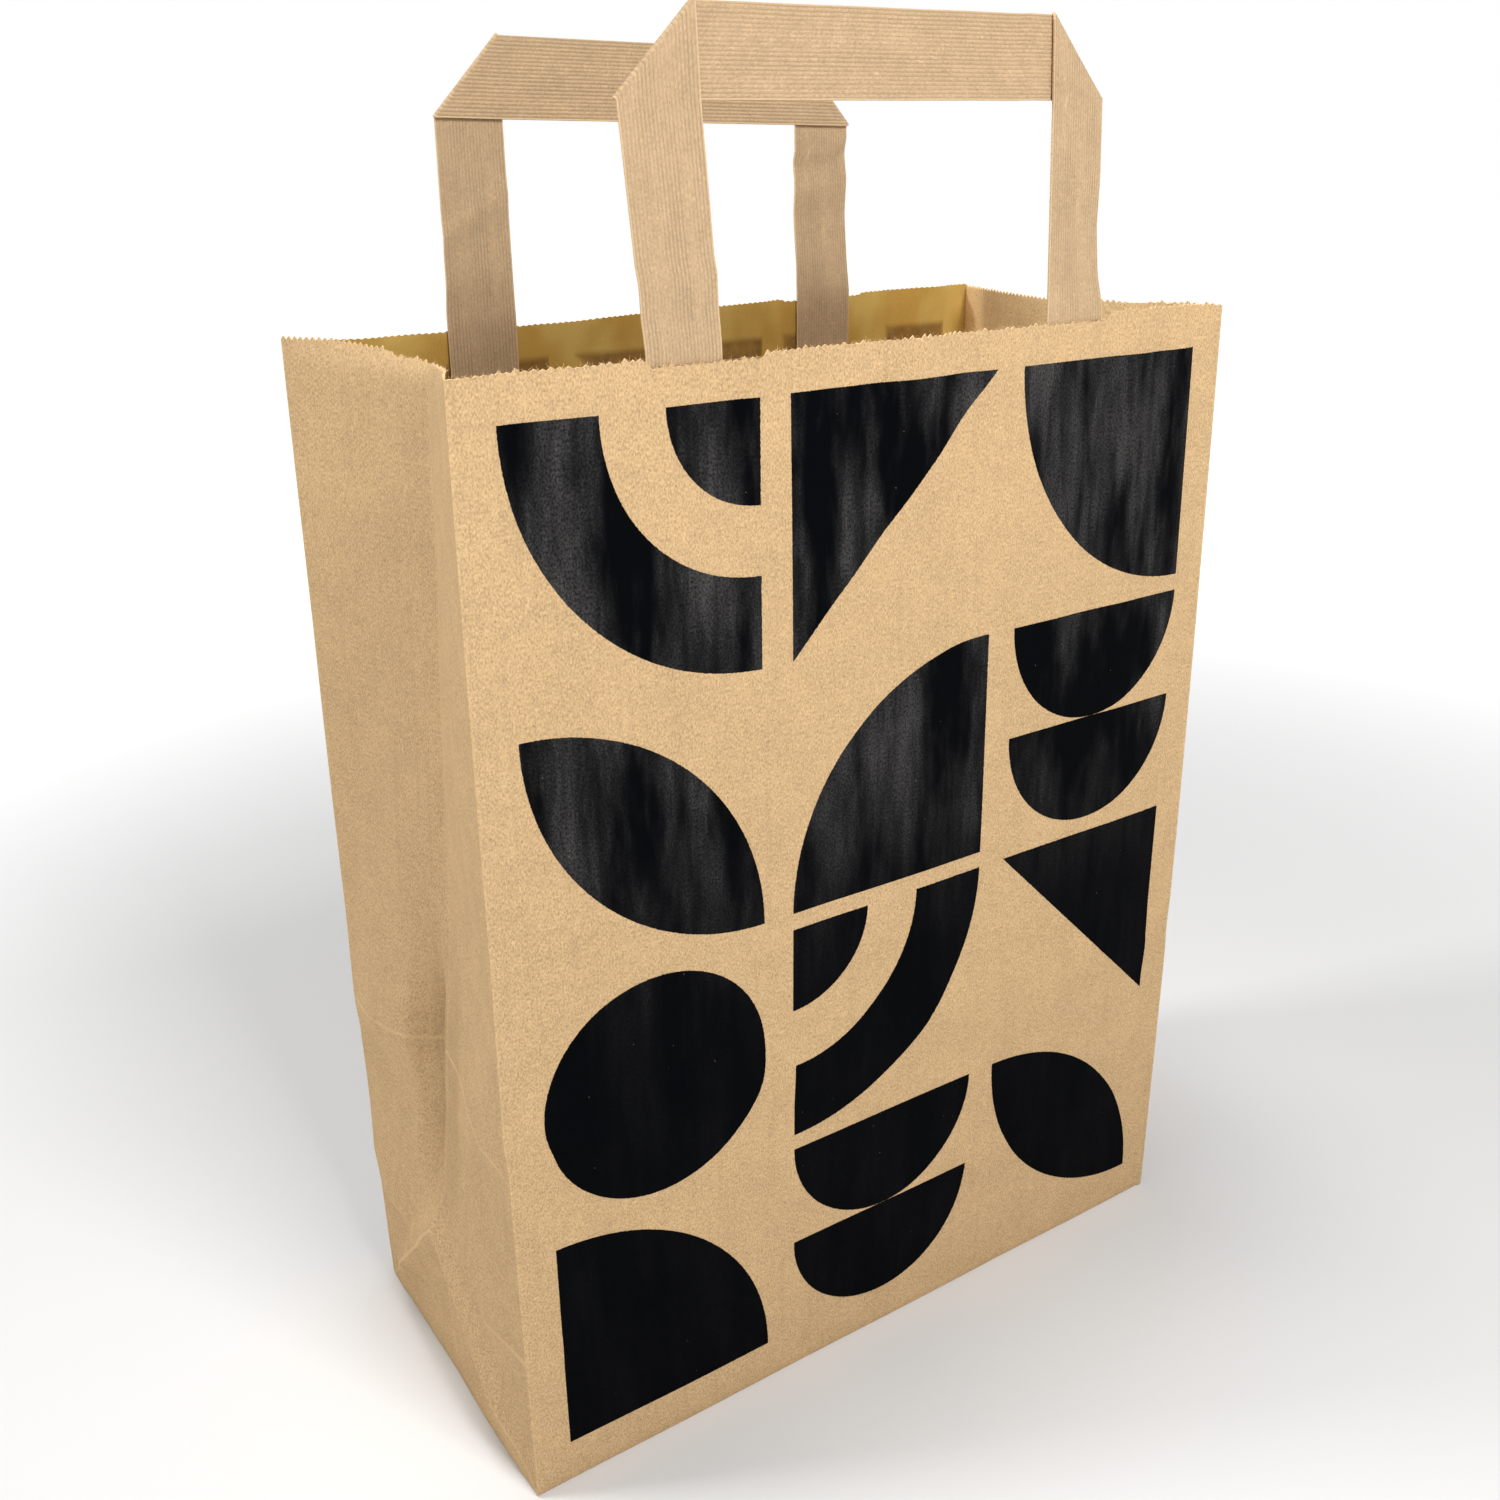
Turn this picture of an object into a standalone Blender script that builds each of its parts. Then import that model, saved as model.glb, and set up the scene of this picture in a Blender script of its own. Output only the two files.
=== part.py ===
"""Kraft paper carrier bag with two flat folded handles. Metres, +Z up.

The bag is one folded sheet: a tube with gusseted sides, a lap seam, a folded block bottom
and an open mouth. Each handle is one flat strap folded at 45 degrees at both corners, and
its ends are held between the panel and a glued patch.

The origin is the middle of the underside. -Y is the front panel, +X is to its right.
"""
import math

import bmesh
import bpy

# Bag
WIDTH = 0.220
DEPTH = 0.101
HEIGHT = 0.281
WALL = 0.0004
GAP = 0.0003

# Lean of the mouth's corners away from the rectangle of the base
FRONT_LEFT_OUT = 0.003
BACK_LEFT_IN = 0.0055
BACK_LEFT_BULGE = 0.0045
SIDE_BOW = 0.0013

# Gussets, which start above the flat triangles of the block bottom
GUSSET_START = DEPTH / 2
GUSSET_DEPTH = 0.0185
GUSSET_REACH = 0.105
GUSSET_DIP = 0.0030

# Mouth, cut lower where the straps of the handles pass it
NOTCHES = ((-0.067, -0.037), (0.043, 0.069))
NOTCH_DEPTH = 0.0020
NOTCH_RAMP = 0.0015

# Handles
STRAP_WIDTH = 0.0192
STRAP_THICKNESS = 0.0006
LEG_CENTRES = (-0.0565, 0.0560)
STRAP_END_Z = HEIGHT - 0.046
BAR_BOTTOM_Z = HEIGHT + 0.0470
BAR_TOP_Z = BAR_BOTTOM_Z + STRAP_WIDTH
CORNER_CLEAR = 0.0005
FRONT_LEAN = 0.140
BACK_LEAN = 0.092
LAYER_PITCH = STRAP_THICKNESS + 0.0004
FOLD_BULGE = 0.0004

# Patches glued over the strap ends
PATCH_WIDTH = 0.150
PATCH_BOTTOM_Z = HEIGHT - 0.056
PATCH_TOP_Z = HEIGHT - 0.016
PATCH_THICKNESS = 0.0003
PATCH_RAMP = 0.0025

# Lap seam, on the front half of the right gusset
SEAM_NEAR = 0.10
SEAM_FAR = 0.42
SEAM_BOTTOM_Z = 0.004
SEAM_TOP_Z = HEIGHT - GUSSET_DIP - 0.0005
SEAM_STEP = WALL * 0.9

# Block bottom: the front flap laps over the back flap
FLOOR_Z = 0.0010
FLAP_INSET = 0.0003
FLAP_LAP = 0.012
FLAP_OVERLAP_Z = 0.0001
FLAP_HALF_END = WIDTH / 2 - DEPTH / 2

# Mesh fineness
PANEL_STEPS = 14
GUSSET_STEPS = 4
ROW_HEIGHTS = (0.0, 0.022, 0.043, 0.051, 0.072, 0.097, 0.128, 0.160, 0.195, 0.230, 0.256, 0.272, HEIGHT)
LEG_STEPS = 4
BAR_STEPS = 8


def clear_scene():
    for old in list(bpy.data.objects):
        bpy.data.objects.remove(old, do_unlink=True)


def make_collection(name):
    collection = bpy.data.collections.new(name)
    bpy.context.scene.collection.children.link(collection)
    return collection


def make_material(name, colour, roughness):
    material = bpy.data.materials.new(name)
    material.use_nodes = True
    shader = material.node_tree.nodes["Principled BSDF"]
    shader.inputs["Base Color"].default_value = (*colour, 1.0)
    shader.inputs["Roughness"].default_value = roughness
    shader.inputs["Metallic"].default_value = 0.0
    material.diffuse_color = (*colour, 1.0)
    return material


def mix(a, b, t):
    return a + (b - a) * t


# ---------------------------------------------------------------- shape of the bag

def corners(z):
    """The four corners at a height, as (x, y): front left, front right, back right, back left."""
    t = z / HEIGHT
    bow = SIDE_BOW * math.sin(math.pi * t)
    back_left = DEPTH / 2 + BACK_LEFT_BULGE * math.sin(math.pi * t) - BACK_LEFT_IN * t ** 3
    return (
        (-WIDTH / 2 + 0.001 * t ** 3, -DEPTH / 2 - FRONT_LEFT_OUT * t ** 2),
        (WIDTH / 2 + bow, -DEPTH / 2),
        (WIDTH / 2, DEPTH / 2),
        (-WIDTH / 2 + 0.0005 * t ** 3, back_left),
    )


def gusset_depth(z):
    """How far the centre crease of a side is folded in at a height."""
    if z <= GUSSET_START:
        return 0.0
    return GUSSET_DEPTH * (1.0 - math.exp((GUSSET_START - z) / GUSSET_REACH))


def panel_y(front, x, z):
    """Middle of the paper of the front or back panel, which is straight between rows."""
    below, above = next((a, b) for a, b in zip(ROW_HEIGHTS, ROW_HEIGHTS[1:]) if z <= b)
    rows = []
    for row_z in (below, above):
        front_left, front_right, back_right, back_left = corners(row_z)
        left, right = (front_left, front_right) if front else (back_left, back_right)
        rows.append(mix(left[1], right[1], (x - left[0]) / (right[0] - left[0])))
    return mix(rows[0], rows[1], (z - below) / (above - below))


def heights_between(low, high):
    """The ends of a stretch and the bag's rows inside it."""
    return [low] + [z for z in ROW_HEIGHTS if low < z < high] + [high]


def notch(x):
    """How much lower the mouth is cut at x on the front and back panels."""
    deepest = 0.0
    for start, end in NOTCHES:
        inside = min(x - start, end - x)
        deepest = max(deepest, min(1.0, max(0.0, inside / NOTCH_RAMP)))
    return NOTCH_DEPTH * deepest


def panel_fractions():
    """Places across a panel, 0 to 1 from left to right, with the notch edges among them."""
    places = {round(i / PANEL_STEPS, 4) for i in range(PANEL_STEPS + 1)}
    for start, end in NOTCHES:
        for edge in (start, start + NOTCH_RAMP, end - NOTCH_RAMP, end):
            places.add(round(0.5 + edge / WIDTH, 4))
    return sorted(places)


def panel_points(left, right, z, at_mouth):
    points = []
    for t in panel_fractions():
        x = mix(left[0], right[0], t)
        height = z - notch(x) if at_mouth else z
        points.append((x, mix(left[1], right[1], t), height))
    return points


def gusset_points(start, end, side, z, at_mouth):
    """The points between two corners of a side, folded in at the middle."""
    crease = (mix(start[0], end[0], 0.5) - side * gusset_depth(z), mix(start[1], end[1], 0.5))
    points = []
    for half, (a, b) in enumerate(((start, crease), (crease, end))):
        for step in range(GUSSET_STEPS):
            t = step / GUSSET_STEPS
            towards_crease = t if half == 0 else 1.0 - t
            height = z - GUSSET_DIP * towards_crease ** 2 if at_mouth else z
            points.append((mix(a[0], b[0], t), mix(a[1], b[1], t), height))
    return points[1:]


def ring(z, at_mouth=False):
    """One closed turn round the bag, anticlockwise from the front left corner."""
    front_left, front_right, back_right, back_left = corners(z)
    front = panel_points(front_left, front_right, z, at_mouth)
    back = panel_points(back_left, back_right, z, at_mouth)[::-1]
    right = gusset_points(front_right, back_right, 1.0, z, at_mouth)
    left = gusset_points(back_left, front_left, -1.0, z, at_mouth)
    return front + right + back + left


# ---------------------------------------------------------------- sheets and objects

def sheet_from_rows(rows, closed=False, floor=False):
    """A surface through rows of points; closed joins each row's ends, floor fills the first row."""
    bm = bmesh.new()
    grid = [[bm.verts.new(point) for point in row] for row in rows]
    for lower, upper in zip(grid, grid[1:]):
        for i in range(len(lower) if closed else len(lower) - 1):
            j = (i + 1) % len(lower)
            bm.faces.new((lower[i], lower[j], upper[j], upper[i]))
    if floor:
        bm.faces.new(reversed(grid[0]))
    return bm


def add_sheet(name, bm, thickness, collection, material=None):
    """An object of the surface, thickened evenly to both sides."""
    mesh = bpy.data.meshes.new(name)
    bm.to_mesh(mesh)
    bm.free()
    if material:
        mesh.materials.append(material)
    sheet = bpy.data.objects.new(name, mesh)
    collection.objects.link(sheet)
    solidify = sheet.modifiers.new("thickness", "SOLIDIFY")
    solidify.thickness = thickness
    solidify.offset = 0.0
    solidify.use_even_offset = True
    solidify.use_quality_normals = True
    return sheet


def join_with(base, sheet):
    """Glues a helper sheet to the base as one solid."""
    sheet.hide_render = True
    sheet.display_type = "WIRE"
    union = base.modifiers.new(sheet.name, "BOOLEAN")
    union.operation = "UNION"
    union.solver = "EXACT"
    union.object = sheet


# ---------------------------------------------------------------- bag

def add_bottom_flap(name, front, helpers):
    """A flap of the bottom: full width at its fold, then cut at 45 degrees towards the middle."""
    low, high = (0.0 if front else WALL), FLOOR_Z - FLAP_OVERLAP_Z
    middle = (low + high) / 2
    fold_y = (-1.0 if front else 1.0) * (DEPTH / 2 - FLAP_INSET)
    half = [(WIDTH / 2 - 2 * FLAP_INSET, fold_y), (FLAP_HALF_END, 0.0)]
    if front:
        half.append((FLAP_HALF_END, FLAP_LAP))
    outline = half + [(-x, y) for x, y in reversed(half)]
    bm = bmesh.new()
    bm.faces.new([bm.verts.new((x, y, middle)) for x, y in outline])
    return add_sheet(name, bm, high - low, helpers)


def add_seam(helpers):
    """The outer layer of the lap seam, a strip that follows the front half of the right side."""
    rows = []
    for z in heights_between(SEAM_BOTTOM_Z, SEAM_TOP_Z):
        _, front_right, back_right, _ = corners(z)
        crease_x = mix(front_right[0], back_right[0], 0.5) - gusset_depth(z)
        crease_y = mix(front_right[1], back_right[1], 0.5)
        row = []
        for t in (SEAM_NEAR, (SEAM_NEAR + SEAM_FAR) / 2, SEAM_FAR):
            x = mix(front_right[0], crease_x, t) + SEAM_STEP
            row.append((x, mix(front_right[1], crease_y, t), z))
        rows.append(row)
    return add_sheet("lap_seam_layer", sheet_from_rows(rows), WALL, helpers)


def add_bag(collection, helpers, material):
    rows = [[(x, y, FLOOR_Z) for x, y, _ in ring(0.0)]]
    rows += [ring(z) for z in ROW_HEIGHTS[1:-1]]
    rows.append(ring(HEIGHT, at_mouth=True))
    bag = add_sheet("bag", sheet_from_rows(rows, closed=True, floor=True), WALL, collection, material)
    join_with(bag, add_bottom_flap("back_bottom_flap", False, helpers))
    join_with(bag, add_bottom_flap("front_bottom_flap", True, helpers))
    join_with(bag, add_seam(helpers))
    return bag


# ---------------------------------------------------------------- handles

def lean(front, z):
    """How far towards the back a handle leans at a height."""
    above = max(0.0, z - HEIGHT)
    return above * (FRONT_LEAN if front else BACK_LEAN)


def strap_y(front, x, z, layer):
    """Middle of the strap: layer 0 lies next to the panel, layer 1 is the next ply further inward."""
    inward = 1.0 if front else -1.0
    clear = WALL / 2 + GAP + STRAP_THICKNESS / 2
    return panel_y(front, x, min(z, HEIGHT)) + inward * (clear + layer * LAYER_PITCH) + lean(front, z)


def leg_rungs(front, side):
    """Pairs of (outer, inner) edge points up one leg, ending at the diagonal of the corner fold."""
    centre = LEG_CENTRES[0] if side < 0 else LEG_CENTRES[1]
    outer_x = centre + side * STRAP_WIDTH / 2
    inner_x = centre - side * STRAP_WIDTH / 2
    leg_top_z = BAR_BOTTOM_Z - CORNER_CLEAR
    above_mouth = [mix(HEIGHT, leg_top_z, (step + 1) / LEG_STEPS) for step in range(LEG_STEPS)]
    rungs = []
    for z in heights_between(STRAP_END_Z, HEIGHT) + above_mouth:
        rungs.append((
            (outer_x, strap_y(front, outer_x, z, 0), z),
            (inner_x, strap_y(front, inner_x, z, 0), z),
        ))
    for layer, out in ((0.0, 0.0), (0.5, FOLD_BULGE), (1.0, 0.0)):
        low, high = BAR_BOTTOM_Z + out, BAR_TOP_Z + out
        rungs.append((
            (outer_x + side * out, strap_y(front, outer_x, low, layer), low),
            (inner_x + side * out, strap_y(front, inner_x, high, layer), high),
        ))
    return rungs


def bar_rungs(front):
    """Pairs of (bottom, top) edge points along the bar, between the inner edges of the legs."""
    left = LEG_CENTRES[0] + STRAP_WIDTH / 2 + CORNER_CLEAR
    right = LEG_CENTRES[1] - STRAP_WIDTH / 2 - CORNER_CLEAR
    rungs = []
    for step in range(BAR_STEPS + 1):
        x = mix(left, right, step / BAR_STEPS)
        rungs.append((
            (x, strap_y(front, x, BAR_BOTTOM_Z, 1), BAR_BOTTOM_Z),
            (x, strap_y(front, x, BAR_TOP_Z, 1), BAR_TOP_Z),
        ))
    return rungs


def add_handle(name, front, collection, material):
    """One strap: up the left leg, folded over behind it, along the bar and down the right leg."""
    rungs = leg_rungs(front, -1.0) + bar_rungs(front) + leg_rungs(front, 1.0)[::-1]
    return add_sheet(name, sheet_from_rows(rungs), STRAP_THICKNESS, collection, material)


def patch_offset(x):
    """Distance from the panel's paper to the patch's, higher where it covers a strap."""
    flat = WALL / 2 + GAP + PATCH_THICKNESS / 2
    raised = flat + STRAP_THICKNESS + GAP
    for centre in LEG_CENTRES:
        beyond = abs(x - centre) - STRAP_WIDTH / 2 - 2 * GAP
        if beyond < PATCH_RAMP:
            return mix(raised, flat, max(0.0, beyond) / PATCH_RAMP)
    return flat


def add_patch(name, front, collection, material):
    inward = 1.0 if front else -1.0
    places = [-PATCH_WIDTH / 2, 0.0, PATCH_WIDTH / 2]
    for centre in LEG_CENTRES:
        for side in (-1, 1):
            edge = centre + side * (STRAP_WIDTH / 2 + 2 * GAP)
            places += [edge, edge + side * PATCH_RAMP]
    rows = []
    for z in heights_between(PATCH_BOTTOM_Z, PATCH_TOP_Z):
        rows.append([(x, panel_y(front, x, z) + inward * patch_offset(x), z) for x in sorted(places)])
    return add_sheet(name, sheet_from_rows(rows), PATCH_THICKNESS, collection, material)


def main():
    clear_scene()
    parts = make_collection("paper_carrier_bag")
    helpers = make_collection("helpers")
    kraft = make_material("kraft_paper", (0.50, 0.34, 0.18), 0.85)
    strap = make_material("ribbed_kraft_strap", (0.45, 0.31, 0.18), 0.8)
    patch = make_material("kraft_patch", (0.47, 0.32, 0.18), 0.85)
    add_bag(parts, helpers, kraft)
    for place, front in (("front", True), ("back", False)):
        add_handle(f"{place}_handle", front, parts, strap)
        add_patch(f"{place}_handle_patch", front, parts, patch)


main()
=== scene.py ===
"""Looks of the kraft paper carrier bag: sheet, print, ribbed straps, patches, stage and camera."""
import math

import bmesh
import bpy
import numpy as np
from mathutils import Matrix, Vector


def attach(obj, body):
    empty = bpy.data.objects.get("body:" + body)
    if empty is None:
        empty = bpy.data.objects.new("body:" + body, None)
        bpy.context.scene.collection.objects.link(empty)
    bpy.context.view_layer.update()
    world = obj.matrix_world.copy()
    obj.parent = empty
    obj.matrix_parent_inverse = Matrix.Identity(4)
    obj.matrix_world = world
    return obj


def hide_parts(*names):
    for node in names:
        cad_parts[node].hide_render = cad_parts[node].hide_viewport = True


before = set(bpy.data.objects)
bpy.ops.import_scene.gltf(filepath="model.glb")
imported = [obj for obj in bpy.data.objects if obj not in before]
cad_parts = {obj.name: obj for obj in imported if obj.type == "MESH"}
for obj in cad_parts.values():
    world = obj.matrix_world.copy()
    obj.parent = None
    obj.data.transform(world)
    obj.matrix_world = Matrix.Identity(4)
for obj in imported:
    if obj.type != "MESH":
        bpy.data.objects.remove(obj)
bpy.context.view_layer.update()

# ---------------------------------------------------------------- driving sizes, metres

WIDTH = 0.220
DEPTH = 0.101
HALF_DEPTH = DEPTH / 2
HEIGHT = 0.281
PAPER = 0.00035

# Running distance round the bag, from the front left corner to the right
FRONT_END = WIDTH
RIGHT_CREASE = WIDTH + HALF_DEPTH
RIGHT_END = WIDTH + DEPTH
BACK_END = 2 * WIDTH + DEPTH
LEFT_CREASE = BACK_END + HALF_DEPTH
PERIMETER = 2 * WIDTH + 2 * DEPTH

# Lap seam on the right side, near its front edge
LAP_START = FRONT_END + 0.005
LAP_END = LAP_START + 0.016
LAP_LIFT = 0.0005

# Pinked mouth
TOOTH_PITCH = 0.0018
TOOTH_HEIGHT = 0.0009
MOUTH_BAND = 0.262
MOUTH_ROWS = 9

# Creases left by folding the bag flat, and how far the sides fold in at the mouth
CREASE_A = 0.0965
CREASE_B = 0.0435
LEFT_GUSSET = 0.0185
LEFT_GUSSET_RISE = 0.105
LEFT_MOUTH_PINCH = 0.0035
RIGHT_GUSSET = 0.0125
RIGHT_GUSSET_RISE = 0.110
FRONT_PHASE = 0.6
BACK_PHASE = 2.0
PANEL_FADE = 0.05

# Folded bottom
FOLD_RADIUS = 0.0009
FRONT_FLAP_LAP = 0.012
FLAP_LEVELS = {"front": 0.0002, "back": 0.0007, "left": 0.0012, "right": 0.0012}
FLAP_STEPS = 16
SIDE_FLAP_BLUNT = 0.003

# Straps
STRAP_WIDTH = 0.0192
STRAP_THICKNESS = 0.0005
RIB_COUNT = 21
RIB_HEIGHT = 0.00004
LAYER_PITCH = 0.0010
STRAP_END_Z = HEIGHT - 0.046
STRAP_RISE = 0.066
MITRE_START = 0.020
LEG_STEP = 0.0016
MITRE_STEPS = 15
FOLD_STEPS = 6
BAR_STEPS = 64

# Patches over the strap ends
PATCH_HALF_WIDTH = 0.075
PATCH_BOTTOM = HEIGHT - 0.056
PATCH_TOP = HEIGHT - 0.016
PATCH_THICKNESS = 0.00025
PATCH_GAP = 0.0005

# Print, a grid of plain geometric motifs
PRINT_CELL = 0.0610
PRINT_GAP_ACROSS = 0.0085
PRINT_GAP_UP = 0.0045
PRINT_COLUMNS = 3
PRINT_ROWS = 4
PRINT_LEFT = (WIDTH - PRINT_COLUMNS * PRINT_CELL - (PRINT_COLUMNS - 1) * PRINT_GAP_ACROSS) / 2
PRINT_BOTTOM = 0.0125
PRINT_MOTIFS = (
    ("quarter", "bowls", "leaf"),
    ("disc", "arcs", "slope"),
    ("leaf", "quarter", "bowls"),
    ("arcs", "slope", "quarter"),
)

# Paper and ink colours, linear
KRAFT = (0.54, 0.367, 0.195)
# Painted light: warm gold standing in for the light bounced and shining through inside the bag
PAINTED_BOUNCE_GOLD = ((0.54, 0.357, 0.082), (0.44, 0.250, 0.034))
STRAP_KRAFT = (0.470, 0.328, 0.192)
INK = (0.0010, 0.0013, 0.0020)
# Ink lightened where worn, also used as a painted sheen
RUBBED_INK_AND_SHEEN = (0.095, 0.090, 0.088)
SHOW_THROUGH = (0.16, 0.070, 0.020)
# Painted light: the inner paper made brighter, for the light falling on the inner sides
PAINTED_GUSSET_LIGHT = 1.70

# Stage
FLOOR_WHITE = 0.76
FLOOR_RADII = (0.0, 0.5, 1.0, 3.0, 12.0)
FLOOR_TURNS = 96
LIGHTS = (
    # name, place, aim, side of the square, watts
    ("overhead", (-0.15, 0.15, 1.6), (0.0, 0.0, 0.1), 0.50, 10.0),
    ("key", (0.0, -0.66, 0.85), (0.0, -0.05, 0.25), 0.30, 7.0),
    ("side", (-0.9, 0.42, 1.05), (0.0, 0.0, 0.15), 0.22, 6.4),
)

# Camera
CAMERA_PLACE = (-0.21597, -0.31921, 0.31382)
CAMERA_AZIMUTH = -33.095
CAMERA_ELEVATION = 21.240
CAMERA_ROLL = -1.158
LENS = 35.42
SENSOR = 36.0

rng = np.random.default_rng(11)


# ---------------------------------------------------------------- small maths

def mix(a, b, t):
    """Between a and b."""
    return a + (b - a) * t


def smooth(low, high, value):
    """0 below low, 1 above high, with an S-curve between."""
    t = np.clip((value - low) / (high - low), 0.0, 1.0)
    return t * t * (3 - 2 * t)


def window(low, high, value, ramp):
    """1 between low and high, fading to 0 over ramp outside them."""
    return smooth(low - ramp, low, value) * (1 - smooth(high, high + ramp, value))


def ridge(value, at, below, above):
    """A sharp fold: 1 at its line, falling to 0 over below and above."""
    d = value - at
    return np.clip(np.where(d < 0, 1 + d / below, 1 - d / above), 0.0, 1.0)


# ---------------------------------------------------------------- shape of the bag

def corners(z):
    """x and y of the four vertical edges at heights z."""
    t = np.clip(z / HEIGHT, 0, 1)
    kink_a = ridge(z, 0.0955, 0.008, 0.030)
    kink_b = ridge(z, 0.0435, 0.008, 0.020)
    front_left = (
        -WIDTH / 2 + 0.001 * t ** 3 - 0.0006 * ridge(z, 0.107, 0.006, 0.045),
        -HALF_DEPTH - 0.003 * t ** 2 + 0 * z,
    )
    front_right = (
        WIDTH / 2 + 0.0015 * np.sin(math.pi * t) - 0.0004 * ridge(z, CREASE_A, 0.01, 0.01),
        -HALF_DEPTH + 0 * z,
    )
    back_right = (
        WIDTH / 2 + 0 * z,
        HALF_DEPTH + 0.0012 * kink_a + 0.001 * kink_b,
    )
    back_left = (
        -WIDTH / 2 + 0.0008 * t ** 3,
        HALF_DEPTH + 0.0018 * np.sin(math.pi * np.clip(t * 1.35, 0, 1)) - 0.0055 * t ** 2.4
        + 0.0022 * kink_a + 0.0026 * kink_b,
    )
    return front_left, front_right, back_right, back_left


def gusset_depth(z, side):
    """How far the centre crease of a side is pushed in."""
    rise = np.clip(z - HALF_DEPTH, 0, None)
    if side == "left":
        pinch = LEFT_MOUTH_PINCH * smooth(0.274, HEIGHT, z)
        return LEFT_GUSSET * (1 - np.exp(-rise / LEFT_GUSSET_RISE)) + pinch
    return RIGHT_GUSSET * (1 - np.exp(-rise / RIGHT_GUSSET_RISE))


def crease_point(z, side):
    """x and y of the centre crease of a side at heights z."""
    front_left, front_right, back_right, back_left = corners(z)
    depth = gusset_depth(z, side)
    if side == "left":
        return (front_left[0] + back_left[0]) / 2 + depth, (front_left[1] + back_left[1]) / 2
    return (front_right[0] + back_right[0]) / 2 - depth, (front_right[1] + back_right[1]) / 2


def flat_at_straps(x, z):
    """1 where the glued strap ends hold a panel flat, 0 elsewhere."""
    near = np.maximum(window(-0.067, -0.046, x, 0.006), window(0.045, 0.066, x, 0.006))
    return near * smooth(0.205, 0.235, z)


def panel_waves(x, z, phase):
    """Gentle undulation of a wide panel, stronger near the open mouth, positive outwards."""
    free = np.exp((z - HEIGHT) / 0.045)
    broad = 0.00080 * np.sin(x / 0.0062 + phase) + 0.00050 * np.sin(x / 0.0036 + 2.3 * phase + z / 0.06)
    broad = broad + 0.00022 * np.sin(x / 0.0021 + 1.3 * phase)
    low = 0.00016 * np.sin(x / 0.012 + phase) * np.sin(z / 0.021 + phase)
    belly = 0.0009 * np.cos(math.pi * x / WIDTH) * np.sin(math.pi * np.clip(z / HEIGHT, 0, 1))
    fold_a = 0.0009 * ridge(z, CREASE_A - 0.03 * x, 0.010, 0.014)
    fold_b = 0.0003 * ridge(z, CREASE_B, 0.006, 0.006)
    return belly + free * broad * (1 - 0.9 * flat_at_straps(x, z)) + low + fold_a + fold_b


def side_waves(v, z, side):
    """Facets of a side, positive outwards. v runs from -1 at the front edge to 1 at the back."""
    back_half = np.clip(v, 0, 1)
    front_half = np.clip(-v, 0, 1)
    edge = 1 - np.abs(v)
    fold_a = 0.0038 * ridge(z, CREASE_A + 0.006 * edge, 0.012, 0.030) * smooth(0.05, 0.5, back_half)
    fold_a = fold_a + 0.0030 * ridge(z, 0.103 - 0.02 * edge, 0.010, 0.03) * smooth(0.1, 0.5, front_half)
    fold_b = 0.0036 * ridge(z, CREASE_B - 0.010 * edge, 0.010, 0.013) * smooth(0.25, 0.7, back_half)
    hollow = -0.0058 * ridge(back_half, 0.13, 0.10, 0.20)
    hollow = hollow * smooth(0.048, 0.075, z) * (1 - smooth(0.100, 0.150, z))
    flute = -0.0018 * np.sin(math.pi * back_half) * smooth(0.20, HEIGHT, z)
    apex = HALF_DEPTH * edge
    diagonal = 0.0034 * ridge(z, apex, 0.012, 0.010) * smooth(0.0, 0.4, edge)
    bent = 0.0007 * np.sin(back_half * 5.0 + z / 0.025) * smooth(0.10, 0.16, z) * (1 - smooth(0.2, 0.25, z))
    swell = 0.0007 * np.sin(math.pi * front_half) * np.sin(z / 0.030 + (1 if side == "left" else 2.5))
    fade = 0.15 * np.clip(edge / 0.06, 0, 1) + 0.85 * smooth(0.0, 0.35, edge)
    return (fold_a + fold_b + hollow + flute + diagonal + bent + swell) * fade


def fade_at_folds(t):
    """0 at both upright folds of a wide panel and 1 a little way in."""
    return np.clip(np.minimum(t, 1 - t) / PANEL_FADE, 0, 1)


def round_the_bag(s, z):
    """Middle of the paper at running distance s and height z, with the outward direction."""
    s = np.mod(s, PERIMETER)
    front_left, front_right, back_right, back_left = corners(z)
    right, left = crease_point(z, "right"), crease_point(z, "left")
    legs = (
        (0.0, FRONT_END, front_left, front_right),
        (FRONT_END, RIGHT_CREASE, front_right, right),
        (RIGHT_CREASE, RIGHT_END, right, back_right),
        (RIGHT_END, BACK_END, back_right, back_left),
        (BACK_END, LEFT_CREASE, back_left, left),
        (LEFT_CREASE, PERIMETER, left, front_left),
    )
    x, y = np.zeros_like(s), np.zeros_like(s)
    nx, ny = np.zeros_like(s), np.zeros_like(s)
    for start, end, a, b in legs:
        inside = (s >= start) & (s <= end)
        t = (s - start) / (end - start)
        dx, dy = b[0] - a[0], b[1] - a[1]
        length = np.hypot(dx, dy)
        x = np.where(inside, a[0] + dx * t, x)
        y = np.where(inside, a[1] + dy * t, y)
        nx = np.where(inside, dy / length, nx)
        ny = np.where(inside, -dx / length, ny)
    front_t = s / WIDTH
    back_t = (s - RIGHT_END) / WIDTH
    out = np.where(s <= FRONT_END, panel_waves(x, z, FRONT_PHASE) * fade_at_folds(front_t), 0.0)
    on_back = (s >= RIGHT_END) & (s <= BACK_END)
    out = np.where(on_back, panel_waves(x, z, BACK_PHASE) * fade_at_folds(back_t), out)
    on_right = (s > FRONT_END) & (s < RIGHT_END)
    out = np.where(on_right, side_waves((s - RIGHT_CREASE) / HALF_DEPTH, z, "right"), out)
    on_left = s > BACK_END
    out = np.where(on_left, side_waves((LEFT_CREASE - s) / HALF_DEPTH, z, "left"), out)
    return x + nx * out, y + ny * out, nx, ny


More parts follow.
